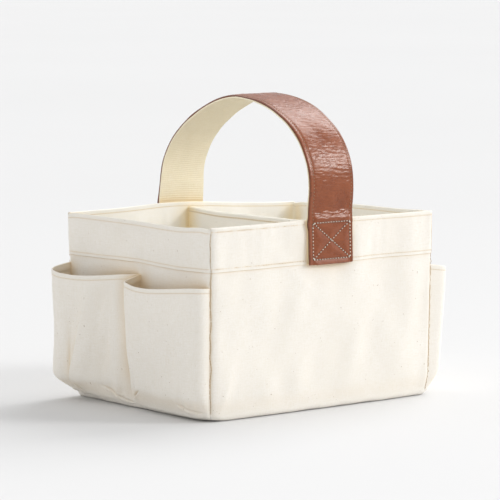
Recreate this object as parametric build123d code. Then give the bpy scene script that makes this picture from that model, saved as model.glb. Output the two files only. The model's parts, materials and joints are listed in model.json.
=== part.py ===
"""Canvas cleaning caddy with a divider, four bellows pockets and a leather carrying strap.

Origin: centre of the base. +Z up, X along the body, Y across it. The front long wall faces -Y.
All sizes in millimetres.
"""

import os

from build123d import *

# Body, over the band
BODY_LENGTH = 310.0
BODY_WIDTH = 240.0
BODY_HEIGHT = 200.0
CORNER_RADIUS = 7.0
FOOT_RADIUS = 6.0
SEAM_FROM_END = 4.5

# Thickness of each layer
BAND = 0.9
CANVAS = 0.9
STIFFENER = 1.2
LINING = 0.8
BASE_BOARD = 2.5
WALL = BAND + CANVAS + STIFFENER + LINING

# Band round the top
BAND_HEIGHT = 45.0

# Divider across the middle
DIVIDER_THICKNESS = 4.4
DIVIDER_TOP = 196.0

# Bellows pockets, two on each end
POCKET_REACH = 180.0
POCKET_TOP = 142.0
POCKET_SLOPE_TOP = 20.0
POCKET_FOOT = 0.6
POCKET_CORNER = 10.0
POCKET_FOLD = 6.0
CENTRE_SEAM_GAP = 0.6

# Carrying strap
LEATHER = 1.9
WEBBING = 2.0
LEATHER_WIDTH = 59.0
WEBBING_WIDTH = 61.0
STRAP_REACH = 127.0
STRAP_RISE = 98.0
PIVOT_HEIGHT = BODY_HEIGHT + 30.0
TAB_CLEARANCE = 0.5

# Thread
THREAD_WIDTH = 0.8
THREAD_RISE = 0.3
STITCH_INSET = 4.5
TAB_STITCH_INSET = 5.0

# Heights that follow
CANVAS_IN = BAND + CANVAS
STIFFENER_IN = CANVAS_IN + STIFFENER
RIM_UNDERSIDE = BODY_HEIGHT - BAND
BAND_BOTTOM = BODY_HEIGHT - BAND_HEIGHT
BOARD_TOP = CANVAS + BASE_BOARD
FLOOR_TOP = BOARD_TOP + LINING
SEAM_X = BODY_LENGTH / 2 - SEAM_FROM_END
TAB_TOP = PIVOT_HEIGHT - WEBBING_WIDTH / 2 - TAB_CLEARANCE
FAR = 1000.0

SIDES = ("front", "back", "left", "right")
ENDS = {"front": -1, "back": 1}
FLANKS = {"left": -1, "right": 1}


def save(shape, node):
    """Writes one sub-part."""
    export_step(shape, f"parts/{node}.step")


def slab(x, y, z):
    """A box from its three (low, high) pairs."""
    size = [pair[1] - pair[0] for pair in (x, y, z)]
    middle = [(pair[0] + pair[1]) / 2 for pair in (x, y, z)]
    return Pos(*middle) * Box(*size)


def block(inset, bottom, top, foot=0.0):
    """Upright block, the body's plan less an inset all round, its lower edge rounded by foot."""
    plan = RectangleRounded(
        BODY_LENGTH - 2 * inset, BODY_WIDTH - 2 * inset, CORNER_RADIUS - inset
    )
    solid = extrude(Pos(0, 0, bottom) * plan, top - bottom)
    if foot:
        solid = fillet(solid.faces().sort_by(Axis.Z)[0].edges(), foot)
    return solid


def ring(outer, inner, bottom, top):
    """The wall between two insets."""
    return block(outer, bottom, top) - block(inner, bottom - 1, top + 1)


def region(side):
    """The space on one side of the body. The ends reach round the corners to the vertical seams."""
    if side in FLANKS:
        sign = FLANKS[side]
        return Pos(sign * (SEAM_X + FAR / 2), 0, 0) * Box(FAR, FAR, FAR)
    return Pos(0, ENDS[side] * FAR / 2, 0) * Box(2 * SEAM_X, FAR, FAR)


def make_walls():
    """Canvas, interlining, lining and band, each in four pieces that meet at the corner seams."""
    layers = {
        "panel": ring(BAND, CANVAS_IN, FOOT_RADIUS, RIM_UNDERSIDE),
        "stiffener": ring(CANVAS_IN, STIFFENER_IN, FOOT_RADIUS, RIM_UNDERSIDE),
        "lining": ring(STIFFENER_IN, WALL, FLOOR_TOP, RIM_UNDERSIDE),
        "band": ring(0, BAND, BAND_BOTTOM, RIM_UNDERSIDE)
        + ring(0, WALL, RIM_UNDERSIDE, BODY_HEIGHT),
    }
    for layer, wall in layers.items():
        for side in SIDES:
            kind = "side_panel" if layer == "panel" and side in FLANKS else layer
            save(wall & region(side), f"{side}_{kind}")


def make_base():
    """Canvas base with its turned-up edge, the board in it and the lining over the board."""
    cup = block(BAND, 0, FOOT_RADIUS, FOOT_RADIUS - BAND)
    hollow = block(CANVAS_IN, CANVAS, FOOT_RADIUS + 1, FOOT_RADIUS - CANVAS_IN)
    save(cup - hollow, "bottom_panel")
    length = BODY_LENGTH - 2 * FOOT_RADIUS
    width = BODY_WIDTH - 2 * FOOT_RADIUS
    board = extrude(Pos(0, 0, CANVAS) * RectangleRounded(length, width, 2), BASE_BOARD)
    save(board, "base_board")
    save(block(STIFFENER_IN, BOARD_TOP, FLOOR_TOP), "base_lining")


def make_divider():
    """A canvas sleeve, open underneath, over its board. Its ends are sewn to the long linings."""
    half = DIVIDER_THICKNESS / 2
    reach = BODY_WIDTH / 2 - WALL
    sleeve = slab((-half, half), (-reach, reach), (FLOOR_TOP, DIVIDER_TOP))
    inside_half = half - CANVAS
    inside_reach = reach - CANVAS
    inside_top = DIVIDER_TOP - CANVAS
    hollow = slab(
        (-inside_half, inside_half), (-inside_reach, inside_reach), (0, inside_top)
    )
    save(sleeve - hollow, "divider_cover")
    board = slab(
        (-inside_half, inside_half),
        (-inside_reach, inside_reach),
        (FLOOR_TOP, inside_top),
    )
    save(board, "divider_board")


def pocket_block(skin, top):
    """The space inside the left front pocket's outer face, drawn in by a skin thickness."""
    reach = -POCKET_REACH + skin
    profile = Polyline(
        (-SEAM_X + skin, POCKET_FOOT + skin / 2),
        (reach, POCKET_SLOPE_TOP + skin),
        (reach, top),
        (-SEAM_X + skin, top),
        close=True,
    )
    front = -BODY_WIDTH / 2 + skin
    back = -CENTRE_SEAM_GAP / 2 - skin
    solid = extrude(Plane.XZ.offset(-back) * make_face(profile), back - front)
    upright = solid.faces().sort_by(Axis.X)[0].edges().filter_by(Axis.Z)
    solid = fillet(upright, POCKET_CORNER - skin)
    fold = solid.edges().filter_by(Axis.Y).group_by(Axis.X)[0].sort_by(Axis.Z)[0]
    return fillet(fold, POCKET_FOLD - skin)


def make_pockets():
    """Four bellows pockets: a face, a sloping floor and two returns, the outer one sewn into the
    corner seam. They are open at the top."""
    body = block(BAND, -1, BODY_HEIGHT)
    pocket = pocket_block(0, POCKET_TOP) - pocket_block(CANVAS, POCKET_TOP + 1) - body
    for flank, x_sign in FLANKS.items():
        for end, y_sign in ENDS.items():
            placed = pocket if x_sign < 0 else mirror(pocket, about=Plane.YZ)
            placed = placed if y_sign < 0 else mirror(placed, about=Plane.XZ)
            save(placed, f"{flank}_{end}_pocket")


def arch(reach, rise, thickness, width):
    """One layer of the strap: half an ellipse on two short legs whose lower ends are round."""
    bottom = PIVOT_HEIGHT - width / 2

    def outline(half, height):
        dome = Pos(0, PIVOT_HEIGHT) * Ellipse(half, height)
        upper = Pos(0, PIVOT_HEIGHT + FAR / 2) * Rectangle(FAR, FAR)
        legs = Pos(0, (PIVOT_HEIGHT + bottom) / 2) * Rectangle(
            2 * half, PIVOT_HEIGHT - bottom
        )
        return (dome & upper) + legs

    section = outline(reach, rise) - outline(reach - thickness, rise - thickness)
    strip = extrude(Plane.YZ * section, width / 2, both=True)
    ends = Plane.XZ * (
        Pos(0, PIVOT_HEIGHT) * Circle(width / 2)
        + Pos(0, PIVOT_HEIGHT + FAR / 2) * Rectangle(width, FAR)
    )
    return strip & extrude(ends, FAR / 2, both=True)


def make_strap():
    """The free part of the strap, which tips about a line across the body above the rim."""
    save(arch(STRAP_REACH, STRAP_RISE, LEATHER, LEATHER_WIDTH), "strap_leather")
    webbing = arch(STRAP_REACH - LEATHER, STRAP_RISE - LEATHER, WEBBING, WEBBING_WIDTH)
    save(webbing, "strap_webbing")
    over = arch(
        STRAP_REACH + THREAD_RISE, STRAP_RISE + THREAD_RISE, THREAD_RISE, LEATHER_WIDTH
    )
    row = LEATHER_WIDTH / 2 - STITCH_INSET
    rows = [
        slab((x, x + THREAD_WIDTH), (-FAR, FAR), (PIVOT_HEIGHT, FAR))
        for x in (-row, row - THREAD_WIDTH)
    ]
    save(Compound([(over & line).solid() for line in rows]), "strap_edge_stitch")


def bar(start, end, face_y, y_sign):
    """A row of thread from one (x, z) to another, standing off a face across Y."""
    (x0, z0), (x1, z1) = start, end
    line = Line((x0, 0, z0), (x1, 0, z1))
    length = line.length + THREAD_WIDTH
    angle = Vector(x1 - x0, z1 - z0).get_signed_angle(Vector(1, 0))
    flat = Box(length, THREAD_RISE, THREAD_WIDTH)
    middle = ((x0 + x1) / 2, face_y + y_sign * THREAD_RISE / 2, (z0 + z1) / 2)
    return Pos(*middle) * Rot(0, angle, 0) * flat


def make_tabs():
    """The strap's two ends, sewn flat to the band with a box and a cross of thread."""
    for end, y_sign in ENDS.items():
        band_face = BODY_WIDTH / 2
        webbing_face = band_face + WEBBING
        leather_face = webbing_face + LEATHER
        layers = {
            "webbing": (WEBBING_WIDTH, band_face, webbing_face),
            "leather": (LEATHER_WIDTH, webbing_face, leather_face),
        }
        for layer, (width, inner, outer) in layers.items():
            span_y = sorted((y_sign * inner, y_sign * outer))
            tab = slab((-width / 2, width / 2), span_y, (BAND_BOTTOM, TAB_TOP))
            save(tab, f"{end}_tab_{layer}")
        x = LEATHER_WIDTH / 2 - TAB_STITCH_INSET
        low = BAND_BOTTOM + TAB_STITCH_INSET
        high = TAB_TOP - TAB_STITCH_INSET / 2
        corners = [(-x, low), (x, low), (x, high), (-x, high)]
        rows = list(zip(corners, corners[1:] + corners[:1]))
        rows += [(corners[0], corners[2]), (corners[1], corners[3])]
        thread = [bar(a, b, y_sign * leather_face, y_sign) for a, b in rows]
        save(thread[0] + thread[1:], f"{end}_box_stitch")


def make_topstitching():
    """The thread row near the rim and the one near the band's lower edge, stopping at the tabs."""
    gap = slab((-WEBBING_WIDTH / 2 - 1, WEBBING_WIDTH / 2 + 1), (-FAR, FAR), (0, FAR))
    rows = {
        "rim_stitch": BODY_HEIGHT - STITCH_INSET,
        "hem_stitch": BAND_BOTTOM + STITCH_INSET,
    }
    for node, height in rows.items():
        row = ring(-THREAD_RISE, 0, height - THREAD_WIDTH / 2, height + THREAD_WIDTH / 2)
        save(Compound((row - gap).solids()), node)


os.makedirs("parts", exist_ok=True)
make_walls()
make_base()
make_divider()
make_pockets()
make_strap()
make_tabs()
make_topstitching()
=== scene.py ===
"""Looks of the canvas cleaning caddy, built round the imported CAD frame.

Every shape is worked out in millimetres, on the body's own coordinates, and written to its mesh in
metres. The wall is described by s, the distance round the body from the middle of the front, z, the
height, and a depth inward from the band's outer face, so that all of its layers stay parallel.
"""

import json
import math

import bpy
import numpy as np
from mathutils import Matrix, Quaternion, Vector


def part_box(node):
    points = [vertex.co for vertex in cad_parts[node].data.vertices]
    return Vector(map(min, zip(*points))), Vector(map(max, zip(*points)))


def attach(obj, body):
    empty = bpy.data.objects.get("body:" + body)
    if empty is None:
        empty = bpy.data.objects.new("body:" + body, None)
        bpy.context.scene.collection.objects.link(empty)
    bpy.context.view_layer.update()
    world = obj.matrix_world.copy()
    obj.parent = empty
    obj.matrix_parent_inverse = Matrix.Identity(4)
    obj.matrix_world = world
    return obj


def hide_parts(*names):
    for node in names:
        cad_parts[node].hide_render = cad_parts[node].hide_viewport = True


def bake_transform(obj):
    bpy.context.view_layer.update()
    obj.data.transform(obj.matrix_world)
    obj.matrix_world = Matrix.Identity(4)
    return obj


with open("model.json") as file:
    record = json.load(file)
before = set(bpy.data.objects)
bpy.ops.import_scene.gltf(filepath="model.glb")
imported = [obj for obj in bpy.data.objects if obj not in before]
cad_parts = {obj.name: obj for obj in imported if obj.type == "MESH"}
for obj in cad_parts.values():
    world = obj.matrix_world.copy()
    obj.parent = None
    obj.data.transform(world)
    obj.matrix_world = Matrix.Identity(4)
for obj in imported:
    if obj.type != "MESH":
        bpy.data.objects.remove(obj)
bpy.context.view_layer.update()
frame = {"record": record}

MM = 0.001


def reach(node, axis, end=1):
    """How far a CAD node reaches along an axis, in millimetres. End 0 is its lowest corner."""
    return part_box(node)[end][axis] / MM


# Sizes that the frame gives
HALF_LENGTH = reach("right_band", 0)
HALF_WIDTH = reach("back_band", 1)
RIM = reach("front_band", 2)
BAND_BOTTOM = reach("front_band", 2, 0)
FLOOR_TOP = reach("base_lining", 2)
BOARD_TOP = reach("base_board", 2)
WALL = HALF_WIDTH - reach("divider_cover", 1)
DIVIDER_HALF = reach("divider_cover", 0)
DIVIDER_TOP = reach("divider_cover", 2)
POCKET_TOP = reach("right_front_pocket", 2)
LEATHER_HALF = reach("strap_leather", 0)
STRAP_TOP = reach("strap_leather", 2)
STRAP_REACH = reach("strap_leather", 1)
PIVOT = frame["record"]["behaviour"]["joints"][0]["pos_m"][2] / MM

# Thicknesses, and how far the canvas lies behind the band's face
CANVAS = 0.9
LINING = 0.8
STIFFENER = 1.1
LEATHER = 1.9
WEBBING = 1.6
BAND_DEPTH = 0.95

# Roundings of the body
CORNERS = {"front_right": 6.0, "back_right": 10.0, "back_left": 5.0, "front_left": 15.0}
END_FOOT = 7.5
LONG_FOOT = 5.0

# Thread and seams
RIM_ROW = RIM - 4.5
HEM_ROW = BAND_BOTTOM + 3.2
SEWN_PITCH = 3.6
SEAM_PITCH = 3.1
LEATHER_PITCH = 3.7
THREAD = 0.5
# Radius of the dark domes of painted shade over the leather's needle holes
LEATHER_HOLE_SHADE_RADIUS = 0.78
SEAM_GAP = 0.14

# Steps of the meshes
GRID = 2.2
FINE_GRID = 1.1
BACKING_GRID = 5
STITCH_SAMPLES = 900

SIDES = ("front", "right", "back", "left")


# ---- shapes


def ease(t):
    """Rises smoothly from 0 to 1 as t does."""
    t = np.clip(t, 0.0, 1.0)
    return t * t * (3 - 2 * t)


def bump(value, centre, width):
    """A bell of height 1 round centre."""
    return np.exp(-(((value - centre) / width) ** 2))


def ripple(points, size, seed, waves=11):
    """Smooth unevenness of about unit height and of the given size along each axis."""
    rng = np.random.default_rng(seed)
    turns = rng.normal(size=(waves, points.shape[-1]))
    turns /= np.linalg.norm(turns, axis=1, keepdims=True)
    turns *= rng.uniform(0.6, 1.6, (waves, 1)) * 2 * math.pi
    phases = rng.uniform(0, 2 * math.pi, waves)
    waved = np.sin((points / np.asarray(size, float)) @ turns.T + phases)
    return waved.sum(-1) / math.sqrt(waves / 2)


def rounded(points, cuts, samples=14):
    """A polyline with each inner corner rounded. A cut is how far from its corner the rounding
    reaches, or a pair of such distances, one before the corner and one after it."""
    points = [np.asarray(p, float) for p in points]
    line = [points[0]]
    t = np.linspace(0, 1, samples)[:, None]
    for before, corner, after, cut in zip(points, points[1:], points[2:], cuts):
        near, far = np.broadcast_to(cut, 2)
        first = corner + (before - corner) / np.linalg.norm(before - corner) * near
        last = corner + (after - corner) / np.linalg.norm(after - corner) * far
        line.extend((1 - t) ** 2 * first + 2 * t * (1 - t) * corner + t**2 * last)
    line.append(points[-1])
    return np.array(line)


def lengths(line):
    """Distance along a line at each of its points."""
    steps = np.linalg.norm(np.diff(line, axis=0), axis=1)
    return np.concatenate([[0], np.cumsum(steps)])


def at(line, distances):
    """Points at the given distances along a line."""
    run = lengths(line)
    return np.stack([np.interp(distances, run, line[:, k]) for k in range(line.shape[1])], -1)


def evenly(line, step):
    """The line again, with points about a step apart."""
    total = lengths(line)[-1]
    return at(line, np.linspace(0, total, max(2, round(total / step) + 1)))


def outward(line):
    """Unit vectors to the right of a plane line's direction."""
    along = np.gradient(line, axis=0)
    along /= np.linalg.norm(along, axis=1, keepdims=True)
    return np.stack([along[:, 1], -along[:, 0]], -1)


# ---- the body's wall

CORNER_PLACES = [(x * HALF_LENGTH, y * HALF_WIDTH) for x, y in ((1, -1), (1, 1), (-1, 1), (-1, -1))]
PLAN = [(0, -HALF_WIDTH), *CORNER_PLACES, (0, -HALF_WIDTH)]
PLAN = evenly(rounded(PLAN, list(CORNERS.values())), 0.5)
PLAN_RUN = lengths(PLAN)
PLAN_OUT = outward(PLAN)
PERIMETER = PLAN_RUN[-1]


def run_to(x, y):
    """Distance round the plan to its point nearest a place."""
    return float(PLAN_RUN[np.argmin(np.hypot(PLAN[:, 0] - x, PLAN[:, 1] - y))])


SEAMS = tuple(run_to(x, y) for x, y in CORNER_PLACES)
BACK_MIDDLE = run_to(0, HALF_WIDTH)
STRETCHES = {
    "front": (SEAMS[3] - PERIMETER, SEAMS[0]),
    "right": SEAMS[:2],
    "back": SEAMS[1:3],
    "left": SEAMS[2:],
}


def nearness(x, y, corner_x, corner_y, along_x, along_y):
    """1 at one corner of the body, fading away from it."""
    off_x, off_y = (x - corner_x * HALF_LENGTH) / along_x, (y - corner_y * HALF_WIDTH) / along_y
    return np.exp(-(off_x**2) - off_y**2)


def soften(points):
    """The whole body's unevenness: lower corners drawn in, a rim that rises at the strap, sinks at
    the far corner and spreads at the left one, and a lower edge that lifts a little off the floor."""
    x, y, z = points[..., 0], points[..., 1], points[..., 2]
    low = ease(1 - z / 120)
    corner = ease(np.abs(x) / HALF_LENGTH * 2 - 1) * ease(np.abs(y) / HALF_WIDTH * 2 - 1)
    drawn = 2.6 * corner * np.exp(-((z / 16) ** 2))
    far = nearness(x, y, 1, 1, 90, 75)
    left = nearness(x, y, -1, 1, 60, 60)
    right = nearness(x, y, 1, -1, 50, 50)
    near = nearness(x, y, -1, -1, 16, 16)
    upper = ease((z - 60) / 140)
    moved_x = -0.004 * low * x - np.sign(x) * drawn + upper * (4.6 * far - 3.0 * left + 1.2 * right)
    moved_y = -0.008 * low * y - np.sign(y) * drawn + upper * (3.0 * left - 3.6 * far)
    high = ease((z - 120) / 75) * (1 - ease((z - RIM - 8) / 30))
    front, back = ease(-y / HALF_WIDTH * 2 - 1), ease(y / HALF_WIDTH * 2 - 1)
    rise = 1.7 * front + 0.6 * front * bump(x, -10, 70) + 3.2 * back * bump(x, -18, 60)
    rise = rise - 5.6 * far - 1.4 * nearness(x, y, -1, -0.7, 40, 80) * (1 - front)
    rim_of_base = ease((np.maximum(np.abs(x) / HALF_LENGTH, np.abs(y) / HALF_WIDTH) - 0.9) / 0.1)
    place = np.stack([x, y], -1)
    wavy = (0.7 + 0.35 * ripple(place, (45, 45), 7)) * rim_of_base
    lifted = (1 - ease(z / 30)) * (wavy + 3.2 * near)
    return np.stack([x + moved_x, y + moved_y, z + high * rise + lifted], -1)


def swell(x, y, z):
    """How far the stiffened wall stands out from its flat plan, alike for all of its layers."""
    place = np.stack(np.broadcast_arrays(x, y, z), -1)
    loose = ease(z / 30) * ease((RIM + 6 - z) / 30)
    slow = 1.0 * ripple(place, (95, 95, 110), 3)
    quick = 0.5 * ripple(place, (38, 38, 75), 5)
    lean = (x + HALF_LENGTH - 14) - 0.35 * (z - 8)
    gather = 1.3 * bump(lean, 0, 5) - 0.9 * bump(lean, 11, 6)
    quick = quick + gather * bump(z, 22, 20) * (y < 0) * (np.abs(x) < HALF_LENGTH - 4)
    drag = (z - BAND_BOTTOM) + 0.9 * (x + LEATHER_HALF + 20)
    quick = quick + 0.7 * bump(drag, 0, 9) * bump(z, BAND_BOTTOM - 12, 26) * (y < 0)
    centre_pull = 2.2 * bump(y, 0, 13) * bump(z, POCKET_TOP + 3, 20) * (np.abs(x) > HALF_LENGTH - 1)
    return (slow + quick) * loose - centre_pull


def wall(s, z, depth, groove=0.0):
    """Points on the wall, with a groove of that depth down each corner seam, which wanders a little."""
    s, z, depth = np.broadcast_arrays(s, z, depth)
    run = np.mod(s, PERIMETER)
    for k, seam in enumerate(SEAMS):
        wander = 0.45 * ripple(z[..., None], (30,), 95 + k) * ease(z / 20)
        run = run + wander * bump(run, seam, 9)
    x, y = np.interp(run, PLAN_RUN, PLAN[:, 0]), np.interp(run, PLAN_RUN, PLAN[:, 1])
    out_x = np.interp(run, PLAN_RUN, PLAN_OUT[:, 0])
    out_y = np.interp(run, PLAN_RUN, PLAN_OUT[:, 1])
    on_end = ((run > SEAMS[0]) & (run < SEAMS[1])) | (run > SEAMS[2]) & (run < SEAMS[3])
    out, drop = swell(x, y, z), 0.0
    for seam in SEAMS:
        out = out * (1 - bump(run, seam, 18))
    for seam in SEAMS:
        out = out - groove * bump(run, seam, 1.5) * ease((RIM - 1 - z) / 6)
        drop = drop + 1.6 * bump(run, seam, 9) * on_end
    z = z - drop * ease((z - BAND_BOTTOM) / 40)
    out = out - depth
    return soften(np.stack([x + out_x * out, y + out_y * out, z], -1))


# ---- meshes


def new_object(name, points, faces, materials, uvs=None, face_materials=None):
    """A mesh object from points in millimetres."""
    mesh = bpy.data.meshes.new(name)
    mesh.from_pydata((np.asarray(points) * MM).tolist(), [], faces)
    for material in materials:
        mesh.materials.append(material)
    if uvs is not None:
        layer = mesh.uv_layers.new(name="cloth")
        corners = np.empty(len(mesh.loops), int)
        mesh.loops.foreach_get("vertex_index", corners)
        layer.data.foreach_set("uv", np.asarray(uvs, np.float32)[corners].ravel())
    if face_materials is not None:
        mesh.polygons.foreach_set("material_index", face_materials)
    mesh.shade_smooth()
    mesh.set_sharp_from_angle(angle=math.radians(48))
    mesh.update()
    ob = bpy.data.objects.new(name, mesh)
    bpy.context.scene.collection.objects.link(ob)
    return ob


def shell(name, outer, thickness, material):
    """A closed layer: the outer grid, the same grid sunk by the thickness, and rounded edges.

    outer[i, j] holds points whose direction along i crossed with that along j faces outward."""
    rows, columns = outer.shape[:2]
    normal = normals_of(outer)
    thick = np.broadcast_to(np.asarray(thickness, float), (rows, columns))[..., None]
    inner = outer - normal * thick
    middle = (outer + inner) / 2
    tips = []
    for end, beside in ((0, 1), (-1, -2)):
        past = middle[:, end] - middle[:, beside]
        past = past / np.maximum(np.linalg.norm(past, axis=-1, keepdims=True), 1e-9)
        tips.append(middle[:, end] + past * thick[:, end] * 0.4)
    loop = np.concatenate([outer, tips[1][:, None], inner[:, ::-1], tips[0][:, None]], axis=1)
    round_it = loop.shape[1]
    index = np.arange(rows * round_it).reshape(rows, round_it)
    onward = np.roll(index, -1, axis=1)
    sides = np.stack([index[:-1], index[1:], onward[1:], onward[:-1]], -1).reshape(-1, 4)
    faces = sides.tolist()
    for row, turn in ((0, 1), (rows - 1, -1)):
        ring = index[row]
        front, back = ring[:columns], ring[columns + 1 : 2 * columns + 1][::-1]
        caps = [[front[j], front[j + 1], back[j + 1], back[j]] for j in range(columns - 1)]
        caps.append([front[-1], ring[columns], back[-1]])
        caps.append([back[0], ring[-1], front[0]])
        faces += [[int(v) for v in cap[::turn]] for cap in caps]
    width = lengths(outer[:, columns // 2]) * MM
    length = lengths(outer[rows // 2]) * MM
    v = np.concatenate([length, length[-1:], length[::-1], length[:1]])
    uvs = np.stack(np.broadcast_arrays(width[:, None], v[None]), -1).reshape(-1, 2)
    ob = new_object(name, loop.reshape(-1, 3), faces, [material], uvs)
    ob["flat"] = [float(width[-1]), float(length[-1])]
    return ob


def normals_of(grid):
    """Unit normals of a grid of points, on the side that faces outward."""
    normal = np.cross(np.gradient(grid, axis=0), np.gradient(grid, axis=1))
    return normal / np.maximum(np.linalg.norm(normal, axis=-1, keepdims=True), 1e-9)


def spread_of(start, end, step=GRID):
    """Even places from start to end, as a column."""
    return np.linspace(start, end, max(2, round(abs(end - start) / step) + 1))[:, None]


def finish_piece(ob, body, slot, *nodes):
    """Rides a piece on its body and has it stand for its CAD nodes."""
    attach(ob, body)
    if nodes:
        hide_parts(*nodes)
    return ob


# ---- materials


class Finish:
    """A material under construction."""

    def __init__(self, name):
        self.material = bpy.data.materials.new(name)
        self.material.use_nodes = True
        self.tree = self.material.node_tree
        self.shader = self.tree.nodes["Principled BSDF"]

    def add(self, kind, inputs=None, output=0, **settings):
        """One node, its inputs linked or set, and the output socket asked for."""
        node = self.tree.nodes.new("ShaderNode" + kind)
        for key, value in settings.items():
            setattr(node, key, value)
        for key, value in (inputs or {}).items():
            self.put(node.inputs[key], value)
        return node.outputs[output]

    def put(self, socket, value):
        if isinstance(value, bpy.types.NodeSocket):
            self.tree.links.new(value, socket)
        else:
            socket.default_value = value

    def maths(self, operation, *values):
        return self.add("Math", dict(enumerate(values)), operation=operation)

    def set(self, **inputs):
        for key, value in inputs.items():
            self.put(self.shader.inputs[key.replace("_", " ")], value)

    def scaled(self, vector, *scale):
        """The vector with its own scale along each axis."""
        return self.add("Mapping", {"Vector": vector, "Scale": scale})

    def parts(self, vector):
        """The vector's X, Y and Z."""
        node = self.tree.nodes.new("ShaderNodeSeparateXYZ")
        self.put(node.inputs[0], vector)
        return list(node.outputs)

    def noise(self, vector, scale, detail=2.0, roughness=0.5):
        inputs = {"Vector": vector, "Scale": scale, "Detail": detail, "Roughness": roughness}
        return self.add("TexNoise", inputs)

    def between(self, value, low, high, to_low=0.0, to_high=1.0):
        """The value's stretch from low to high, spread from to_low to to_high and clamped."""
        inputs = {0: value, 1: low, 2: high, 3: to_low, 4: to_high}
        return self.add("MapRange", inputs)

    def mix(self, factor, first, second):
        """A colour between two others, which go to the Mix node's inputs 6 and 7."""
        return self.add("Mix", {0: factor, 6: first, 7: second}, output=2, data_type="RGBA")

    def bump(self, height, strength, distance):
        return self.add("Bump", {"Height": height, "Strength": strength, "Distance": distance})


def rgb(red, green, blue):
    return (red, green, blue, 1.0)


def woven(name, colour, tint, painted_shade, thread, speckle=True):
    """Plain-weave cotton: over-and-under threads, slubs both ways, soft tone and seed specks. The colour
    given after the tint is painted shade: an occlusion node paints it, warmer and darker, into hollows
    and folds, for the light that bounces from cloth to cloth there. The painted shade fades out towards
    the floor, which isn't cloth."""
    f = Finish(name)
    uv = f.add("UVMap", uv_map="cloth")
    turn = math.pi / (thread * MM)
    u, v, _ = f.parts(uv)
    weft = f.maths("SINE", f.maths("MULTIPLY", u, turn))
    warp = f.maths("SINE", f.maths("MULTIPLY", v, turn))
    weave = f.maths("MULTIPLY", weft, warp)
    slub_across = f.noise(f.scaled(uv, 90, 1100, 1), 1.0, 3.0)
    slub_along = f.noise(f.scaled(uv, 1100, 90, 1), 1.0, 3.0)
    slubs = f.maths("ADD", slub_across, slub_along)
    place = f.add("TexCoord", output=3)
    tone = f.noise(place, 22.0, 3.0)
    grain = f.noise(place, 520.0, 2.0, 0.7)
    streaked = f.maths("ADD", f.maths("MULTIPLY", slubs, 0.5), f.maths("MULTIPLY", grain, 0.5))
    base = f.mix(f.between(streaked, 0.62, 1.02), rgb(*colour), rgb(*tint))
    cloudy = rgb(*(0.4 * c + 0.6 * t for c, t in zip(colour, tint)))
    base = f.mix(f.between(tone, 0.3, 0.75, 0.0, 0.55), base, cloudy)
    if speckle:
        seed = f.noise(place, 420.0, 1.0)
        rare = f.noise(place, 60.0, 0.0)
        spot = f.maths("MULTIPLY", f.between(seed, 0.735, 0.775), f.between(rare, 0.5, 0.62))
        base = f.mix(f.maths("MULTIPLY", spot, 0.6), base, rgb(0.33, 0.22, 0.12))
    # Painted shade: the colour turns to the warmer, darker one where the occlusion node finds hollows
    # and folds.
    occlusion = f.add("AmbientOcclusion", {"Distance": 0.026}, output=1, samples=6)
    above_floor = f.between(f.parts(place)[2], 0.006, 0.040)
    painted_shade_share = f.maths("MULTIPLY", f.between(occlusion, 0.55, 0.97, 1.0, 0.0), above_floor)
    base = f.mix(painted_shade_share, base, rgb(*painted_shade))
    height = f.maths("ADD", f.maths("MULTIPLY", weave, 0.35), f.maths("MULTIPLY", slubs, 0.8))
    f.set(Base_Color=base, Roughness=f.between(grain, 0.3, 0.7, 0.82, 0.95))
    f.set(Specular_IOR_Level=0.25, Sheen_Weight=0.12, Sheen_Roughness=0.5)
    f.set(Normal=f.bump(height, 0.55, 0.00022))
    return f.material


def saddle_leather():
    """Smooth brown leather with cross-grain creases, fine pores, darker edges and a soft shine."""
    f = Finish("saddle_leather")
    uv = f.add("UVMap", uv_map="cloth")
    across, along, _ = f.parts(uv)
    creases = f.noise(f.scaled(uv, 105, 480, 1), 1.0, 2.0, 0.5)
    ridges = f.maths("ABSOLUTE", f.maths("SUBTRACT", creases, 0.5))
    pore = {"Vector": f.scaled(uv, 420, 620, 1), "Scale": 1.0}
    pores = f.add("TexVoronoi", pore, feature="SMOOTH_F1")
    cloud = f.noise(uv, 55.0, 4.0)
    half = STRAP_HALF * MM
    edge = f.maths("ABSOLUTE", f.maths("SUBTRACT", across, half))
    rub = f.between(edge, half - 0.0022, half - 0.0006)
    from_end = f.maths("MINIMUM", along, f.maths("SUBTRACT", STRAP_LENGTH * MM, along))
    worked = f.between(from_end, 0.044, 0.060, 0.2, 1.0)
    base = f.mix(f.between(cloud, 0.3, 0.7), rgb(0.225, 0.052, 0.013), rgb(0.280, 0.072, 0.020))
    base = f.mix(f.between(ridges, 0.0, 0.045, 0.45, 0.0), base, rgb(0.12, 0.026, 0.008))
    base = f.mix(f.maths("MULTIPLY", rub, 0.6), base, rgb(0.11, 0.028, 0.012))
    height = f.maths("ADD", creases, f.maths("MULTIPLY", pores, 0.12))
    height = f.maths("MULTIPLY", height, worked)
    f.set(Base_Color=base, Roughness=f.between(cloud, 0.25, 0.75, 0.24, 0.32))
    f.set(Specular_IOR_Level=0.5, Specular_Tint=rgb(1.0, 0.96, 0.92))
    f.set(Normal=f.bump(height, 1.0, 0.00036))
    return f.material


def cotton_thread(name, colour, shade):
    """Twisted thread, darker in its twist."""
    f = Finish(name)
    place = f.add("TexCoord", output=3)
    strands = {"Vector": place, "Scale": 900.0, "Distortion": 3.0}
    twist = f.add("TexWave", strands, bands_direction="DIAGONAL")
    fuzz = f.noise(place, 1500.0)
    f.set(Base_Color=f.mix(f.maths("MULTIPLY", twist, fuzz), rgb(*colour), rgb(*shade)))
    f.set(Roughness=f.between(fuzz, 0.3, 0.7, 0.6, 0.85), Normal=f.bump(twist, 0.5, 0.0001))
    return f.material


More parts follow.
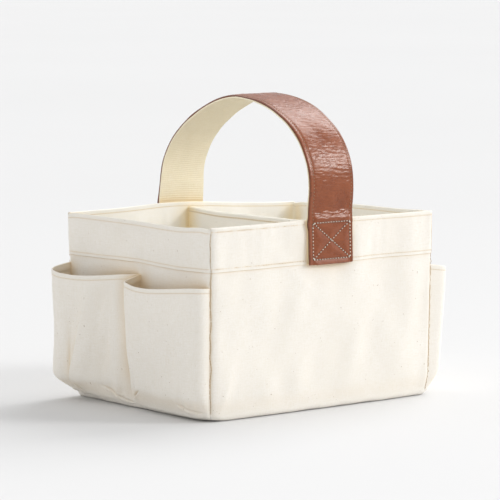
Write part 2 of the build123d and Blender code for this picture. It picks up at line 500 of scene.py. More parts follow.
def fibrous(name, dark, light, scale, noise, gloss, relief):
    """Matted fibres. noise is their detail and roughness, gloss the roughness of the surface from
    smooth to coarse, and relief its strength and depth."""
    f = Finish(name)
    fibres = f.noise(f.scaled(f.add("TexCoord", output=3), *scale), 1.0, *noise)
    f.set(Base_Color=f.mix(fibres, rgb(*dark), rgb(*light)))
    f.set(Roughness=f.between(fibres, 0.3, 0.7, *gloss), Normal=f.bump(fibres, *relief))
    return f.material


# The colour after each tint is painted shade for hollows and folds.
CANVAS_CLOTH = woven("canvas", (0.905, 0.87, 0.812), (0.83, 0.78, 0.685), (0.80, 0.65, 0.45), 0.62)
# Painted light: the lining's colours are paler than the canvas's, brightening the inside of the body
# where light falls in.
LIT_LINING_CLOTH = woven("lining", (0.96, 0.94, 0.89), (0.94, 0.905, 0.82), (0.93, 0.77, 0.48), 0.5)
WEBBING_CLOTH = woven(
    "webbing", (0.93, 0.86, 0.69), (0.85, 0.76, 0.55), (0.84, 0.68, 0.42), 0.8, speckle=False
)
CANVAS_THREAD = cotton_thread("canvas_thread", (0.88, 0.82, 0.71), (0.74, 0.65, 0.51))
LEATHER_THREAD = cotton_thread("leather_thread", (0.93, 0.88, 0.78), (0.74, 0.63, 0.48))
# Partly thread, partly painted shade: a dark brown cord that also stands for the shade in each corner
# seam's groove.
SEAM_CORD_AND_SHADE = cotton_thread("seam_cord_and_shade", (0.56, 0.43, 0.28), (0.34, 0.23, 0.13))
# Painted shade: the strap's edge rows take a dull brown in place of the tab's cream thread, as they lie
# sunk in the leather.
SHADED_EDGE_THREAD = cotton_thread("shaded_edge_thread", (0.42, 0.28, 0.18), (0.22, 0.13, 0.08))
HOLE_SHADE_GRAIN = (900, 900, 900), (2.0, 0.5), (0.8, 0.95), (0.4, 0.0001)
# Painted shade: dark domes over the needle holes, near black in the leather.
CLOTH_HOLE_SHADE = fibrous("cloth_hole_shade", (0.46, 0.34, 0.21), (0.60, 0.46, 0.30), *HOLE_SHADE_GRAIN)
LEATHER_HOLE_SHADE = fibrous("leather_hole_shade", (0.010, 0.005, 0.003), (0.030, 0.012, 0.007), *HOLE_SHADE_GRAIN)
BOARD_GRAIN = (180, 700, 180), (5.0, 0.5), (0.75, 0.9), (0.4, 0.0003)
BOARD = fibrous("fibre_board", (0.30, 0.26, 0.20), (0.46, 0.41, 0.33), *BOARD_GRAIN)
FELT_GRAIN = (600, 600, 600), (6.0, 0.7), (0.85, 0.97), (0.7, 0.0004)
FELT = fibrous("felt", (0.62, 0.60, 0.55), (0.78, 0.77, 0.72), *FELT_GRAIN)


# ---- stitches


def stitch_row(line, normals, pitch, thick, cover=0.72, seed=1):
    """Single stitches along a line on a surface: points, faces, and each end's place and normal."""
    run = lengths(line)
    count = max(1, round(run[-1] / pitch))
    rng = np.random.default_rng(seed)
    middle = (np.arange(count) + 0.5) * run[-1] / count
    span = pitch * cover / 2
    steps = np.linspace(-span, span, 5)
    lift = np.array([-0.45, 0.30, 0.52, 0.30, -0.45]) * thick
    girth = np.array([0.6, 1.0, 1.1, 1.0, 0.6]) * thick / 2
    where = middle[:, None] + steps[None]
    spine = np.stack([np.interp(where, run, line[:, k]) for k in range(3)], -1)
    up = np.stack([np.interp(where, run, normals[:, k]) for k in range(3)], -1)
    up /= np.linalg.norm(up, axis=-1, keepdims=True)
    onward = np.gradient(spine, axis=1)
    onward /= np.maximum(np.linalg.norm(onward, axis=-1, keepdims=True), 1e-9)
    side = np.cross(up, onward)
    slant = rng.uniform(-0.12, 0.12, (count, 1, 1)) * np.linspace(-1, 1, 5)[None, :, None]
    ends = spine[:, [0, -1]].reshape(-1, 3), up[:, [0, -1]].reshape(-1, 3)
    spine = spine + up * lift[None, :, None] + side * slant * thick
    angles = np.linspace(0, 2 * math.pi, 7)[:-1]
    ring = [
        spine + girth[None, :, None] * (math.cos(a) * 0.85 * up + math.sin(a) * side)
        for a in angles
    ]
    points = np.stack(ring, 2).reshape(-1, 3)
    index = np.arange(count * 30).reshape(count, 5, 6)
    turned = np.roll(index, -1, axis=2)
    quads = np.stack([index[:, :-1], turned[:, :-1], turned[:, 1:], index[:, 1:]], -1)
    faces = quads.reshape(-1, 4).tolist()
    faces += index[:, 0, ::-1].tolist() + index[:, -1].tolist()
    return points, faces, ends


def stitches(name, rows, material, pitch, thick, hole_shade, hole_shade_radius, cover=0.72):
    """One piece that holds every stitch of some rows, each a (line, normals) pair, and a low dark dome
    of painted shade over the needle holes at either end of each stitch."""
    points, faces, kinds = [], [], []
    base = 0
    for k, (line, normals) in enumerate(rows):
        found, made, (spots, ups) = stitch_row(line, normals, pitch, thick, cover, seed=k + 1)
        dome, rounds = hole_shade_domes(spots, ups, hole_shade_radius)
        for kind, (some, shapes) in enumerate(((found, made), (dome, rounds))):
            points.append(some)
            faces += [[base + v for v in face] for face in shapes]
            kinds += [kind] * len(shapes)
            base += len(some)
    points = np.concatenate(points)
    return new_object(name, points, faces, [material, hole_shade], face_materials=kinds)


def hole_shade_domes(spots, ups, radius):
    """Low dark domes over the needle holes round their thread: painted shade for the holes."""
    aside = np.cross(ups, np.array([0.31, 0.52, 0.79]))
    aside /= np.linalg.norm(aside, axis=-1, keepdims=True)
    other = np.cross(ups, aside)
    angles = np.linspace(0, 2 * math.pi, 9)[:-1]
    low = [spots + radius * (math.cos(a) * aside + math.sin(a) * other) - 0.15 * ups for a in angles]
    high = spots + 0.10 * ups
    points = np.concatenate([np.stack(low, 1), high[:, None]], 1)
    index = np.arange(len(spots) * 9).reshape(-1, 9)
    faces = []
    for hole_shade in index.tolist():
        faces += [[hole_shade[k], hole_shade[(k + 1) % 8], hole_shade[8]] for k in range(8)]
        faces.append(hole_shade[7::-1])
    return points.reshape(-1, 3), faces


def sewn(name, rows, hole_shade_radius):
    """Rows sewn through canvas, with the thread long and the painted-shade domes of its needle holes
    close together.
    """
    return stitches(name, rows, CANVAS_THREAD, SEWN_PITCH, THREAD, CLOTH_HOLE_SHADE, hole_shade_radius, cover=0.84)


def surface_row(place, distances):
    """A row on a surface function of one distance and a small sideways shift, with its normals."""
    line = place(distances, 0.0)
    along = np.gradient(line, axis=0)
    across = place(distances, 0.5) - line
    normal = np.cross(along, across)
    return line, normal / np.linalg.norm(normal, axis=-1, keepdims=True)


# ---- body cloth


def is_end(side):
    return side in ("left", "right")


def walls():
    """Canvas, felt, lining and band of each side."""
    felt_depth = BAND_DEPTH + CANVAS + 0.05
    felt_line = evenly(np.array([(felt_depth, END_FOOT + 1), (felt_depth, RIM - 2.0)]), BACKING_GRID)
    for side in SIDES:
        foot = END_FOOT if is_end(side) else LONG_FOOT
        line = [(BAND_DEPTH + foot + 1.1, 0), (BAND_DEPTH, 0), (BAND_DEPTH, RIM - 1.6)]
        line = evenly(rounded(line, [foot]), GRID)
        start, stop = STRETCHES[side]
        s = spread_of(start + SEAM_GAP, stop - SEAM_GAP)
        nodes = f"{side}_side_panel" if is_end(side) else f"{side}_panel"
        groove = 0.25 if is_end(side) else 0.7
        outer = wall(s, line[:, 1], line[:, 0], groove)
        panel = shell(f"{side}_canvas", outer, CANVAS, CANVAS_CLOTH)
        finish_piece(panel, "caddy", "canvas", nodes)

        coarse = spread_of(start, stop, BACKING_GRID)
        backing = shell(f"{side}_felt", wall(coarse, felt_line[:, 1], felt_line[:, 0]), STIFFENER, FELT)
        finish_piece(backing, "caddy", "stiffener", f"{side}_stiffener")

        band(side)
        lining(side)


def band_depth(s, z):
    """Depth of the band's face: sunk along its two rows of stitches, and puckered between them."""
    s, z = np.broadcast_arrays(s, z)
    place = np.stack([s, z], -1)
    sunk = 0.17 * bump(z, RIM_ROW, 1.0) + 0.10 * bump(z, HEM_ROW, 0.9)
    sunk = sunk * (1 + 0.4 * ripple(place, (9, 400), 11))
    pucker = 0.08 * ripple(place, (15, 110), 12) * ease((RIM - 1 - z) / 5)
    return sunk + pucker


def band_arch(s, z):
    """How much higher the band's lower part is at the middle of each end."""
    s, z = np.broadcast_arrays(s, z)
    run = np.mod(s, PERIMETER)
    middle = bump(run, (SEAMS[0] + SEAMS[1]) / 2, 55) + bump(run, (SEAMS[2] + SEAMS[3]) / 2, 55)
    return 2.0 * middle * (1 - ease((z - BAND_BOTTOM) / 35))


def band(side):
    """The folded facing round the top: its outer face, and over the rim's crest."""
    line = evenly(rounded([(0, BAND_BOTTOM), (0, RIM), (WALL / 2, RIM)], [1.7]), 1.1)
    start, stop = STRETCHES[side]
    s = spread_of(start + SEAM_GAP, stop - SEAM_GAP, 1.6)
    z, depth = line[:, 1], line[:, 0]
    groove = 0.2 if is_end(side) else 0.8
    outer = wall(s, z + band_arch(s, z), depth + band_depth(s, z), groove)
    piece = shell(f"{side}_facing", outer, CANVAS * 0.9, CANVAS_CLOTH)
    finish_piece(piece, "caddy", "canvas", f"{side}_band")


def slack(s, z):
    """How far the lining hangs in from the felt: soft upright folds below the rim row."""
    s, z = np.broadcast_arrays(s, z)
    place = np.stack([s, z], -1)
    run = np.mod(s, PERIMETER)
    corner = 1.0
    for seam in SEAMS:
        corner = corner * (1 - bump(run, seam, 16))
    free = ease((RIM_ROW - 1 - z) / 28) * ease((z - FLOOR_TOP) / 30) * corner
    folds = 0.9 + 0.75 * ripple(place, (26, 210), 21) + 0.3 * ripple(place, (12, 90), 22)
    return np.maximum(folds, 0.0) * free


def divider_pinch(s):
    """1 where the divider's ends are sewn to the long linings."""
    run = np.mod(s, PERIMETER)
    back = BACK_MIDDLE - divider_x(HALF_WIDTH)
    return bump(run, 0, 7) + bump(run, PERIMETER, 7) + bump(run, back, 7)


def divider_x(y):
    """The divider's middle, which leans a little to the right at the back."""
    return 5.5 * ease((y + HALF_WIDTH) / (2 * HALF_WIDTH))


def lining(side):
    """The lining, from the rim's crest down to the floor."""
    line = evenly(rounded([(WALL / 2, RIM), (WALL, RIM), (WALL, FLOOR_TOP)], [1.7]), 1.9)
    s = spread_of(*STRETCHES[side], 2.0)
    z, depth = line[:, 1], line[:, 0]
    row = 0.25 * bump(z, RIM_ROW, 1.1)
    inner = wall(s, z, depth - row + slack(s, z) * (1 - divider_pinch(s)))
    piece = shell(f"{side}_inner_cloth", inner, LINING, LIT_LINING_CLOTH)
    finish_piece(piece, "caddy", "lining", f"{side}_lining")


def floor_piece(name, half_x, half_y, top, thickness, material, uneven=0.0, facing=1):
    """A flat layer of the base. facing is 1 where its upper side shows and -1 where its lower does."""
    x, y = spread_of(-half_x, half_x, 4), spread_of(-half_y, half_y, 4)
    grid_x, grid_y = np.broadcast_arrays(x, y.T)
    flat = np.stack([grid_x, grid_y], -1)
    fade = ease((half_x - np.abs(grid_x)) / 12) * ease((half_y - np.abs(grid_y)) / 12)
    z = top + uneven * ripple(flat, (60, 60), 31) * fade
    grid = soften(np.stack([grid_x, grid_y, z], -1))
    return shell(name, grid if facing > 0 else grid[::-1], thickness, material)


def base():
    """Outer canvas, board and lining of the base."""
    half_x = HALF_LENGTH - BAND_DEPTH - END_FOOT - 0.4
    half_y = HALF_WIDTH - BAND_DEPTH - LONG_FOOT - 0.4
    under = floor_piece("base_canvas", half_x, half_y, 0.0, CANVAS, CANVAS_CLOTH, facing=-1)
    finish_piece(under, "caddy", "canvas", "bottom_panel")
    thickness = BOARD_TOP - CANVAS - 0.1
    board = floor_piece("base_stiff_board", half_x, half_y, BOARD_TOP, thickness, BOARD)
    finish_piece(board, "caddy", "board", "base_board")
    half_x, half_y, top = HALF_LENGTH - WALL, HALF_WIDTH - WALL, FLOOR_TOP + 0.3
    inner = floor_piece("floor_cloth", half_x, half_y, top, LINING, LIT_LINING_CLOTH, uneven=0.25)
    finish_piece(inner, "caddy", "lining", "base_lining")


# ---- divider

DIVIDER_ROW = 5.0


def divider_surface(x, y, z):
    """Bends the straight divider: a slow bow, and a top that is higher at the front."""
    place = np.stack([y, z], -1)
    bow = 1.0 * np.sin(math.pi * (y / HALF_WIDTH + 1) / 2) + 0.5 * ripple(place, (70, 90), 41)
    rise = ease((z - 100) / 90) * (0.4 - 1.6 * y / HALF_WIDTH)
    free = ease((HALF_WIDTH - WALL - np.abs(y)) / 12)
    return soften(np.stack([x + bow * free + divider_x(y), y, z + rise], -1))


def divider():
    """A sleeve of cloth over its board, stitched along its folded top."""
    half, top, reach_y = DIVIDER_HALF, DIVIDER_TOP, HALF_WIDTH - WALL
    line = [(-half, FLOOR_TOP), (-half, top), (half, top), (half, FLOOR_TOP)]
    line = evenly(rounded(line, [2.0, 2.0]), 1.8)
    y = spread_of(-reach_y - 0.2, reach_y + 0.2, 2.4)[:, 0]
    x, z = line[:, :1], line[:, 1:]
    side = np.sign(x) * np.minimum(np.abs(x) / half, 1)
    sunk = 0.35 * bump(z, top - DIVIDER_ROW, 1.2)
    plump = 0.5 * bump(z, top - 2, 2.2)
    x, y_grid, z = np.broadcast_arrays(x + side * (plump - sunk), y[None], z)
    sleeve = shell("divider_sleeve", divider_surface(x, y_grid, z), 0.85, LIT_LINING_CLOTH)
    finish_piece(sleeve, "caddy", "lining", "divider_cover")

    board_y = spread_of(-reach_y + 1.2, reach_y - 1.2, 8)
    board_z = spread_of(FLOOR_TOP + 0.2, top - 1.6, 8)
    grid_y, grid_z = np.broadcast_arrays(board_y, board_z.T)
    face = divider_surface(np.full_like(grid_y, 1.15), grid_y, grid_z)
    board = shell("divider_stiff_board", face, 2.3, BOARD)
    finish_piece(board, "caddy", "board", "divider_board")

    rows = []
    for sign in (-1, 1):

        def place(distance, aside, sign=sign):
            x = np.full_like(distance, sign * (half + 0.12))
            return divider_surface(x, distance, np.full_like(distance, top - DIVIDER_ROW + aside * sign))

        rows.append(surface_row(place, np.linspace(-reach_y + 2, reach_y - 2, 120)))
    thread = sewn("divider_thread", rows, 0.62)
    finish_piece(thread, "caddy", "thread")


# ---- pockets

TURN_SAMPLES = 14


class Pocket:
    """One bellows pocket. Its local places are a, along the wall from the corner seam to the centre
    seam, o, outward from the wall's outer face, and z. flank is -1 on the left, end -1 at the front.

    depths holds the pocket's depth at its two ends, the corner seam's first, each at the mouth and
    then at the base. turns holds, for the same ends, how far each turn reaches out from the wall
    and along it. heights is the rise and fall of the mouth at even places from the corner seam to the
    centre seam, and lifts is how far the base seam rises at its two ends."""

    def __init__(self, flank, end, seed, depths, turns, heights, lifts):
        self.flank, self.end, self.seed = flank, end, seed
        self.depths, self.turns, self.heights, self.lifts = depths, turns, heights, lifts
        self.tucked = 0.4 if flank * end < 0 else 1.1
        self.length = HALF_WIDTH - 0.4
        side = "left" if flank < 0 else "right"
        self.name = f"{side}_{'front' if end < 0 else 'back'}_pocket"
        cut = CORNERS[f"{'front' if end < 0 else 'back'}_{side}"]
        self.start = np.array([0.25 * cut + 1.0, -0.25 * cut - 0.2])

    def section(self, share, high):
        """Plan of the pocket out from the corner seam, along, and back in, at a share of its full
        depth, and the distances along it at which its two turns end and begin."""
        (mouth_a, base_a), (mouth_b, base_b) = self.depths
        (out_a, along_a), (out_b, along_b) = self.turns
        first = (base_a + (mouth_a - base_a) * high) * share
        last = (base_b + (mouth_b - base_b) * high) * share
        wider = 1.5 - 0.5 * high
        turn_a = min(out_a, 0.9 * (first - self.start[1])), along_a * wider
        turn_b = along_b * wider, min(out_b, 0.9 * max(last, 1.0))
        slip = 0.12 * (first - self.start[1])
        line = [
            tuple(self.start),
            (self.start[0] - slip, first),
            (self.length - 1.0, max(last, 0.3)),
            (self.length, -0.4),
        ]
        curve = rounded(line, [turn_a, turn_b], TURN_SAMPLES)
        run = lengths(curve)
        return curve, np.array([0, run[TURN_SAMPLES], run[TURN_SAMPLES + 1], run[-1]])

    def grid(self):
        """Distances along the mouth, and the outer face before its fine shaping, as a grid that runs
        along the pocket and then up it."""
        full = max(self.depths[0][0], self.depths[1][0])
        mouth_line, turned = self.section(1.0, 1.0)
        around = lengths(mouth_line)[-1]
        shares = np.linspace(0, 1, round(around / FINE_GRID) + 1)
        turned = turned / around
        knots = [0, max(turned[1], 0.12), min(turned[2], 0.88), 1]
        profile = [(0.02, 0.0), (0.30, 1.5), (1.0, 24.0), (1.0, POCKET_TOP)]
        profile = [(full * share, z) for share, z in profile]
        profile = evenly(rounded(profile, [3.0, 8.0]), FINE_GRID)
        rows = []
        for depth, z in profile:
            curve, marks = self.section(depth / full, ease(z / POCKET_TOP))
            where = np.interp(shares, knots, marks)
            rows.append(np.column_stack([at(curve, where), np.full(len(shares), z)]))
        local = np.stack(rows, 1)
        places = np.linspace(0, 1, len(self.heights))
        mouth = np.interp(shares, places, self.heights)
        mouth = np.convolve(np.pad(mouth, 5, mode="edge"), np.ones(11) / 11, "valid")
        foot = np.interp(shares, [0, 1], self.lifts)
        high = np.clip(local[..., 2] / POCKET_TOP, 0, 1)
        local[..., 2] += mouth[:, None] * high**1.5 + foot[:, None] * (1 - high) ** 6
        return shares * around, local

    def place(self, local):
        """Local points in the body's own places, shifted with the wall that they are sewn to."""
        a, o, z = local[..., 0], local[..., 1], local[..., 2]
        x = self.flank * (HALF_LENGTH - BAND_DEPTH + o)
        y = self.end * (HALF_WIDTH - a)
        shift = swell(np.full_like(x, self.flank * HALF_LENGTH), y, z) * ease(a / 25)
        return np.stack([x + self.flank * shift, y, z], -1)

    def shape(self):
        """The outer face with its hem, soft folds and the tucks at its two lower corners."""
        run, local = self.grid()
        up = lengths(local[len(run) // 2])
        down = (up[-1] - up)[None]
        normal = normals_of(local)
        normal *= np.sign(normal[len(run) // 2, -10, 1])
        run = run[:, None]
        width = run[-1, 0]
        place = np.stack(np.broadcast_arrays(run, down), -1)
        free = ease((run - 16) / 26) * ease((width - run - 16) / 26) * ease(up[None] / 30)
        folds = 0.75 * ripple(place, (50, 110), self.seed) + 0.3 * ripple(place, (19, 60), self.seed + 1)
        back = 0.5 + 0.5 * self.end
        lean = run - width * (0.46 + 0.09 * back) - 0.20 * back * (down - 60)
        drape = (0.7 + 0.9 * back) * bump(lean, 0, 13) * ease((down - 12) / 45)
        drape = drape - (0.5 + 2.3 * back) * bump(lean, 27, 13) * ease((down - 25) / 50)
        lift = (folds + drape) * free * (0.35 + 0.65 * ease(down / 35))
        lift = lift - 0.15 * bump(down, 3.9, 1.0) + 0.20 * bump(down, 1.2, 1.8)
        lift = lift + self.tucks(run, width - run, up[None])
        return local + normal * lift[..., None]

    def tucks(self, first, last, up):
        """A pleat folded under at each lower corner, which runs from the end of the base seam."""
        total = 0.0
        for from_end, size, slope in ((first - 10, self.tucked, 0.30), (last - 8, 1.3, 0.55)):
            crease = 9.0 + slope * from_end
            off = up - crease
            window = ease((34 - from_end) / 14) * ease((from_end + 6) / 8)
            lip = 1.5 * np.exp(-np.maximum(-off, 0) / 5) * ease((0.7 - off) / 1.4)
            total = total + size * window * (lip - 1.9 * bump(off, 0.9, 1.0))
            total = total + 1.3 * size * bump(from_end, 13, 3.4) * bump(up, 24, 15)
            total = total - 1.0 * size * bump(from_end, 20, 4.0) * bump(up, 26, 16)
            total = total + 0.8 * size * bump(from_end, 5, 2.6) * bump(up, 17, 10)
        return total * ease((up - 1) / 3)

    def build(self):
        outer = soften(self.place(self.shape()))
        if self.flank * self.end > 0:
            outer = outer[::-1]
        from_mouth = lengths(outer[outer.shape[0] // 2])
        from_mouth = from_mouth[-1] - from_mouth
        hem = 0.75 * (1 - ease((from_mouth - 6.2) / 1.6))
        piece = shell(f"{self.name}_cloth", outer, CANVAS + hem[None], CANVAS_CLOTH)
        finish_piece(piece, "caddy", "canvas", self.name)
        return outer


def row_on_grid(outer, column_at, lift):
    """A row of thread along a built grid, at a distance from its last column."""
    down = lengths(outer[outer.shape[0] // 2][::-1])
    k = int(np.searchsorted(down, column_at))
    k = outer.shape[1] - 1 - k
    normal = normals_of(outer)
    return outer[1:-1, k] + lift * normal[1:-1, k], normal[1:-1, k]


def pockets():
    """The four pockets, each with its own depths and turns, and the thread along their hems."""
    front_edge = (-3.2, -2.8, -4.6, -6.8, -8.6, -8.2, -3.4, 1.5)
    back_edge = (4.0, 0.2, -4.6, -5.8, -4.5, -2.4, 0.4, 1.5)
    right_edge = (0.0, -3.0, -5.5, -6.0, -5.5, -4.0, -1.0, 1.5)
    kinds = (
        (-1, -1, ((13.0, 16.0), (25.5, 15.5)), ((18, 22), (14, 6)), front_edge, (1.2, 4.5)),
        (-1, 1, ((33.0, 37.5), (11.0, 6.0)), ((20, 24), (20, 60)), back_edge, (8.0, 4.5)),
        (1, -1, ((25.0, 20.5), (20.0, 19.0)), ((14, 10), (20, 20)), right_edge, (2.5, 3.5)),
        (1, 1, ((20.0, 21.0), (24.0, 20.0)), ((20, 20), (14, 8)), right_edge, (3.0, 3.5)),
    )
    rows = []
    for k, kind in enumerate(kinds):
        outer = Pocket(kind[0], kind[1], 50 + 7 * k, *kind[2:]).build()
        rows.append(row_on_grid(outer, 3.9, 0.05))
    thread = sewn("pocket_thread", rows, 0.66)
    finish_piece(thread, "caddy", "thread")


# ---- strap

TAB_GAP = 0.2
TAB_FACE = HALF_WIDTH + WEBBING + LEATHER + TAB_GAP
STRAP_HALF = LEATHER_HALF + 0.8
LEFT_ROW, RIGHT_ROW = -STRAP_HALF + 5.6, STRAP_HALF - 3.7
BOX_LOW = 4.6
BOX_HIGH = RIM - BAND_BOTTOM - 2.6
ARCH_MIDDLE = -4.0


def half_arch(turn, side_y, top_y, foot_z, slope):
    """One half of the arch: turn is 0 at its foot and a quarter turn at its top. A slope above 0
    draws its shoulder in."""
    out = np.cos(turn) * (1 - slope + slope * np.cos(turn))
    y = top_y + (side_y - top_y) * out
    return np.stack([y, foot_z + (STRAP_TOP - foot_z) * np.sin(turn) ** 0.92], -1)


def strap_line():
    """The leather's outer face, across the body from the front tab to the back one, as (y, z)."""
    turn = np.linspace(0, math.pi / 2, 300)
    front = half_arch(turn, -STRAP_REACH, ARCH_MIDDLE, PIVOT + 7, 0.0)
    back = half_arch(turn, STRAP_REACH - 2, ARCH_MIDDLE, PIVOT - 4, 0.42)
    legs = []
    for foot, sign, lean in ((front[0], -1, 0.0), (back[0], 1, 2.5)):
        z = np.linspace(BAND_BOTTOM - 0.6, foot[1], 100)[:-1]
        face = TAB_FACE + lean * ease((z - RIM + 12) / 10)
        y = face + (abs(foot[0]) - face) * ease((z - RIM) / (foot[1] - RIM))
        legs.append(np.stack([sign * y, z], -1))
    return evenly(np.concatenate([legs[0], front, back[-2::-1], legs[1][::-1]]), 0.5)


STRAP = strap_line()
STRAP_RUN = lengths(STRAP)
STRAP_OUT = -outward(STRAP)
STRAP_LENGTH = STRAP_RUN[-1]
LEATHER_HIDE = saddle_leather()


def from_tab(q):
    """Distance from the nearer end of the strap."""
    return np.minimum(q, STRAP_LENGTH - q)


def to_segment(x, z, start, end):
    """Distance in a tab's face from a straight row of thread."""
    (x0, z0), (x1, z1) = start, end
    share = ((x - x0) * (x1 - x0) + (z - z0) * (z1 - z0)) / ((x1 - x0) ** 2 + (z1 - z0) ** 2)
    share = np.clip(share, 0, 1)
    return np.hypot(x - x0 - share * (x1 - x0), z - z0 - share * (z1 - z0))


def box_rows():
    """The box and cross on a tab: (start, end) pairs of (x, height above the tab's lower edge)."""
    return [
        ((LEFT_ROW, BOX_LOW), (RIGHT_ROW, BOX_LOW)),
        ((LEFT_ROW, BOX_HIGH), (RIGHT_ROW, BOX_HIGH)),
        ((LEFT_ROW, BOX_LOW), (RIGHT_ROW, BOX_HIGH)),
        ((LEFT_ROW, BOX_HIGH), (RIGHT_ROW, BOX_LOW)),
    ]


def leather_lift(x, q):
    """The leather's own relief: plump between rows of thread, thin at its edges, rolled and creased
    where it bends out above the rim."""
    x, q = np.broadcast_arrays(x, q)
    height = from_tab(q)
    place = np.stack([x, q], -1)
    edge = np.exp(-(STRAP_HALF - np.abs(x)) / 0.8)
    side = np.minimum(np.abs(x - LEFT_ROW), np.abs(x - RIGHT_ROW))
    nearest = side
    for start, end in box_rows():
        nearest = np.minimum(nearest, to_segment(x, height, start, end))
    on_tab = 1 - ease((height - BOX_HIGH) / 3)
    puff = 1.5 * (1 - np.exp(-((nearest / 6.0) ** 2))) * on_tab
    sunk = 0.40 * np.maximum(bump(side, 0, 1.3), bump(nearest, 0, 1.4) * on_tab)
    inner = ease((x - LEFT_ROW + 2) / 6) * ease((RIGHT_ROW + 2 - x) / 6)
    above = height - BOX_HIGH
    roll = (2.5 * bump(above, 3.2, 5.2) - 0.6 * bump(above, 15.0, 5.0)) * (0.3 + 0.7 * inner)
    creased = 0.0
    for k, crease in enumerate((6.8, 9.0, 11.4)):
        wander = 0.9 * ripple(np.stack([x, 0 * x], -1), (22, 1), 70 + k) + 0.03 * x
        creased = creased - 0.35 * bump(above, crease + wander, 0.6) * inner
    wide = 0.22 * ripple(place, (40, 55), 62)
    across = 0.07 * ripple(place, (16, 5.0), 63, 17) + 0.05 * ripple(place, (9, 3.2), 66, 17)
    return puff - sunk - 0.7 * edge + roll + creased + (wide + across * inner) * (1 - on_tab)


def strap_x(q):
    """How far the strap's middle is from the body's: to the right at the front, left at the back."""
    share = q / STRAP_LENGTH
    front = 2.3 + 3.9 * np.clip(1 - 2 * share, 0, 1) ** 2
    return front - 4.9 * np.clip(2 * share - 1, 0, 1) ** 2


def strap_points(x, q, lift):
    """Points over the strap: x across it, q along it, lift off the leather's plain outer face."""
    x, q, lift = np.broadcast_arrays(x, q, lift)
    y, z = np.interp(q, STRAP_RUN, STRAP[:, 0]), np.interp(q, STRAP_RUN, STRAP[:, 1])
    out_y = np.interp(q, STRAP_RUN, STRAP_OUT[:, 0])
    out_z = np.interp(q, STRAP_RUN, STRAP_OUT[:, 1])
    free = ease((from_tab(q) - BOX_HIGH - 5) / 40)
    back = ease((q / STRAP_LENGTH - 0.4) / 0.6)
    twist = math.radians(3.6) * free * back
    lift = lift + np.sin(twist) * x * np.sign(y - ARCH_MIDDLE)
    pinch = -1.6 * bump(from_tab(q), BOX_HIGH - 1, 5) * ease((-x - STRAP_HALF + 4) / 4) * (y < 0)
    moved_x = x * np.cos(twist) + strap_x(q) + pinch
    return soften(np.stack([moved_x, y + out_y * lift, z + out_z * lift], -1))


def bend_piece(ob, slot, *nodes):
    """A piece of the strap, which is fixed at the tabs and bends above the rim: its placing is baked
    into its mesh and its CAD nodes hidden.
    """
    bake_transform(ob)
    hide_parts(*nodes)


def strap():
    """Leather, webbing and their thread."""
    close = BOX_HIGH + 3, BOX_HIGH + 17
    stops = (0, close[0], close[1], STRAP_LENGTH)
    parts = [spread_of(a, b, step)[:, 0] for a, b, step in zip(stops, stops[1:], (0.9, 0.45, 0.85))]
    q = np.concatenate([parts[0], parts[1][1:], parts[2][1:]])
    x = spread_of(-STRAP_HALF, STRAP_HALF, 1.15)
    leather = shell("strap_hide", strap_points(x, q, leather_lift(x, q)), LEATHER, LEATHER_HIDE)
    bend_piece(leather, "leather", "strap_leather", "front_tab_leather", "back_tab_leather")

    q = spread_of(0.4, STRAP_LENGTH - 0.4, 0.62)[:, 0]
    x = spread_of(STRAP_HALF - 0.2, -STRAP_HALF + 0.2, 2.0)
    ribs = 0.15 * np.sin(q * 2 * math.pi / 2.6)
    uneven = 0.12 * ripple(np.stack(np.broadcast_arrays(x, q[None]), -1), (25, 40), 65)
    under = strap_points(x, q[None], -(LEATHER + WEBBING - 0.1) - ribs[None] - uneven)
    webbing = shell("strap_band", under, WEBBING - 0.3, WEBBING_CLOTH)
    bend_piece(webbing, "webbing", "strap_webbing", "front_tab_webbing", "back_tab_webbing")

    distances = np.linspace(BOX_LOW, STRAP_LENGTH - BOX_LOW, STITCH_SAMPLES)
    rows = []
    for across in (LEFT_ROW, RIGHT_ROW):

        def place(distance, aside, across=across):
            here = across + aside
            return strap_points(here, distance, leather_lift(here, distance))

        line, normal = surface_row(place, distances)
        rows.append((line, -normal))
    # The edge rows' dull brown thread and near-black hole domes are painted shade.
    thread = SHADED_EDGE_THREAD, LEATHER_PITCH, 0.7, LEATHER_HOLE_SHADE, LEATHER_HOLE_SHADE_RADIUS, 0.52
    edges = stitches("strap_edge_thread_and_shade", rows, *thread)
    bend_piece(edges, "thread", "strap_edge_stitch")

    for end, mirrored in (("front", False), ("back", True)):
        rows = []
        sides = [((x, BOX_LOW), (x, BOX_HIGH)) for x in (LEFT_ROW, RIGHT_ROW)]
        for start, stop in box_rows() + sides:
            share = np.linspace(0, 1, 80)
            across = start[0] + (stop[0] - start[0]) * share
            height = start[1] + (stop[1] - start[1]) * share
            distance = STRAP_LENGTH - height if mirrored else height
            line = strap_points(across, distance, leather_lift(across, distance) + 0.2)
            facing = np.array([0.0, 1.0 if mirrored else -1.0, 0.0])
            rows.append((line, np.broadcast_to(facing, line.shape)))
        thread = LEATHER_THREAD, LEATHER_PITCH, 1.05, LEATHER_HOLE_SHADE, LEATHER_HOLE_SHADE_RADIUS, 0.46
        box = stitches(f"{end}_box_thread", rows, *thread)
        finish_piece(box, "caddy", "thread", f"{end}_box_stitch")


# ---- thread of the body


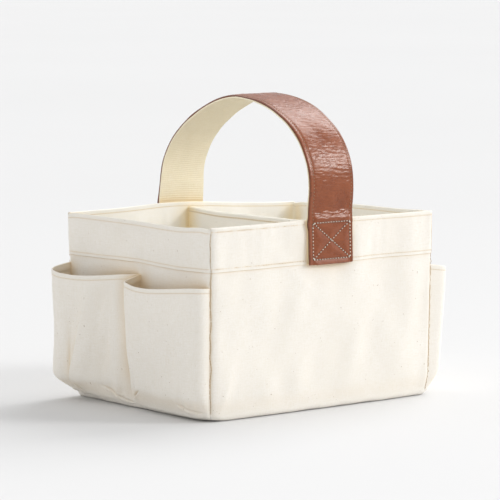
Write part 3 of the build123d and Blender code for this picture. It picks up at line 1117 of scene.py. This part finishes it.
def body_thread():
    """Rows round the rim, outside and inside, and along the band's lower edge, and a dark brown cord
    down the corner seams, partly thread and partly painted shade for each seam's groove."""
    tab = STRAP_HALF + 1.5
    front, back = strap_x(0.0), BACK_MIDDLE - strap_x(STRAP_LENGTH)
    spans = ((front + tab, back - tab), (back + tab, PERIMETER + front - tab))

    def outside(height):
        rows = []
        for start, stop in spans:

            def place(distance, aside):
                z = np.full_like(distance, height) + aside
                depth = band_depth(distance, z) - 0.08
                return wall(distance, z + band_arch(distance, z), depth, groove=0.8)

            rows.append(surface_row(place, np.linspace(start, stop, STITCH_SAMPLES)))
        return rows

    def inside(distance, aside):
        z = np.full_like(distance, RIM_ROW) - aside
        return wall(distance, z, np.full_like(distance, WALL - 0.15))

    rim_rows = outside(RIM_ROW) + [surface_row(inside, np.linspace(0, PERIMETER, 2 * STITCH_SAMPLES))]
    finish_piece(sewn("rim_thread", rim_rows, 0.46), "caddy", "thread", "rim_stitch")
    finish_piece(sewn("hem_thread", outside(HEM_ROW), 0.46), "caddy", "thread", "hem_stitch")

    # A dark brown cord down each corner seam: partly thread, partly painted shade for the seam's groove.
    z = np.linspace(RIM - 6, 6, 160)
    cord_and_shade_rows = []
    for k, seam in enumerate(SEAMS):
        toward_long_side = -0.35 if k in (0, 2) else 0.35
        s = np.full_like(z, seam + toward_long_side)
        depth = 1.0 + 0.25 * ripple(z[:, None], (9,), 90 + k)
        line = wall(s, z, depth)
        facing = wall(s, z, depth - 1) - line
        cord_and_shade_rows.append((line, facing))
    cord_and_shade = stitches("corner_seam_thread_and_shade", cord_and_shade_rows, SEAM_CORD_AND_SHADE, SEAM_PITCH, 0.6, CLOTH_HOLE_SHADE, 0.3, cover=0.95)
    finish_piece(cord_and_shade, "caddy", "thread")


# ---- studio

KEY_DIRECTION = (0.65, -0.62, 0.44)
LOOKED_AT = (0.0028, 0.0067, 0.158)
CAMERA_DISTANCE = 3.25


def add_lamp(light, towards, distance):
    """A lamp aimed at the middle of the object, at a distance from it in metres."""
    lamp = bpy.data.objects.new(light.name, light)
    towards = Vector(towards).normalized()
    lamp.location = Vector((0, 0, 0.15)) + towards * distance
    lamp.rotation_euler = (-towards).to_track_quat("-Z", "Y").to_euler()
    bpy.context.scene.collection.objects.link(lamp)


def studio():
    """Pale floor, soft key light from the right and an even surround."""
    f = Finish("studio_floor")
    mottle = f.noise(f.add("TexCoord", output=3), 0.8)
    f.set(Base_Color=f.mix(mottle, rgb(0.710, 0.710, 0.712), rgb(0.730, 0.730, 0.732)), Roughness=0.9)
    f.set(Specular_IOR_Level=0.1)
    wide = 60.0 / MM
    corners = [(-wide, -wide, 0), (wide, -wide, 0), (wide, wide, 0), (-wide, wide, 0)]
    ground = new_object("studio_floor", corners, [[0, 1, 2, 3]], [f.material])

    world = bpy.data.worlds.new("surround")
    world.use_nodes = True
    background = world.node_tree.nodes["Background"]
    background.inputs["Color"].default_value = rgb(1.0, 1.0, 1.0)
    background.inputs["Strength"].default_value = 0.77
    bpy.context.scene.world = world
    bpy.context.scene.view_settings.view_transform = "Standard"

    for name, towards, energy, spread in (
        ("key_sun", KEY_DIRECTION, 0.93, 16),
        ("top_right_sun", (0.70, 0.20, 0.68), 1.14, 36),
        ("right_sun", (0.95, 0.0, 0.30), 0.75, 28),
        ("left_sun", (-0.80, 0.50, 0.32), 0.18, 32),
    ):
        sun = bpy.data.lights.new(name, "SUN")
        sun.energy, sun.angle = energy, math.radians(spread)
        add_lamp(sun, towards, 3.0)
    panel = bpy.data.lights.new("key_panel", "AREA")
    panel.shape, panel.size, panel.energy = "SQUARE", 1.1, 4.3
    add_lamp(panel, KEY_DIRECTION, 1.9)


def place_camera():
    """The camera, to the left of the front and looking slightly down."""
    azimuth, elevation, roll = (math.radians(angle) for angle in (-39.48, 6.35, 0.155))
    level = math.cos(elevation)
    back = Vector((math.sin(azimuth) * level, -math.cos(azimuth) * level, math.sin(elevation)))
    camera = bpy.data.cameras.new("camera")
    camera.sensor_width, camera.lens = 36.0, 216.0
    seat = bpy.data.objects.new("camera", camera)
    seat.location = Vector(LOOKED_AT) + back * CAMERA_DISTANCE
    turn = (-back).to_track_quat("-Z", "Y") @ Quaternion((0, 0, 1), roll)
    seat.rotation_euler = turn.to_euler()
    bpy.context.scene.collection.objects.link(seat)
    bpy.context.scene.camera = seat


studio()
place_camera()
walls()
base()
divider()
pockets()
strap()
body_thread()
